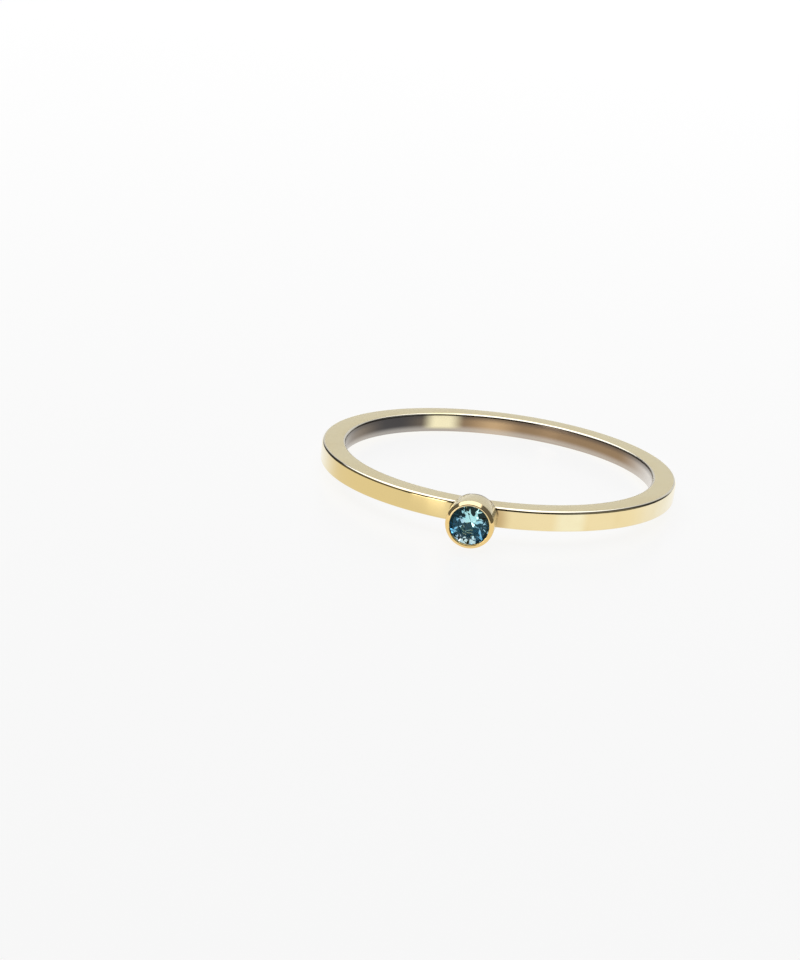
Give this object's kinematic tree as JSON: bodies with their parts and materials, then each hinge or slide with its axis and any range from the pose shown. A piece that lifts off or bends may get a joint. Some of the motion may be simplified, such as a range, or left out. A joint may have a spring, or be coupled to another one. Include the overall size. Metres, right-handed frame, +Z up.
{
  "type": "bezel ring",
  "caption": "Thin flat finger ring lying on its side, with a small round cut stone held in a cup that is soldered to the outside of the band.",
  "frame": {"origin": "on the floor under the middle of the ring's outline, as it lies at rest", "axes": "+Z up from the floor, -Y the way the stone faces, +X to the stone's right as seen from in front of it"},
  "size_m": [0.02, 0.0216, 0.0026],
  "materials": {
    "gold_coloured_metal": "polished walls, satin side faces",
    "blue_stone": "cut and polished, sea blue"
  },
  "bodies": {
    "root": {"band_and_bezel": "gold_coloured_metal", "stone": "blue_stone"}
  },
  "joints": []
}
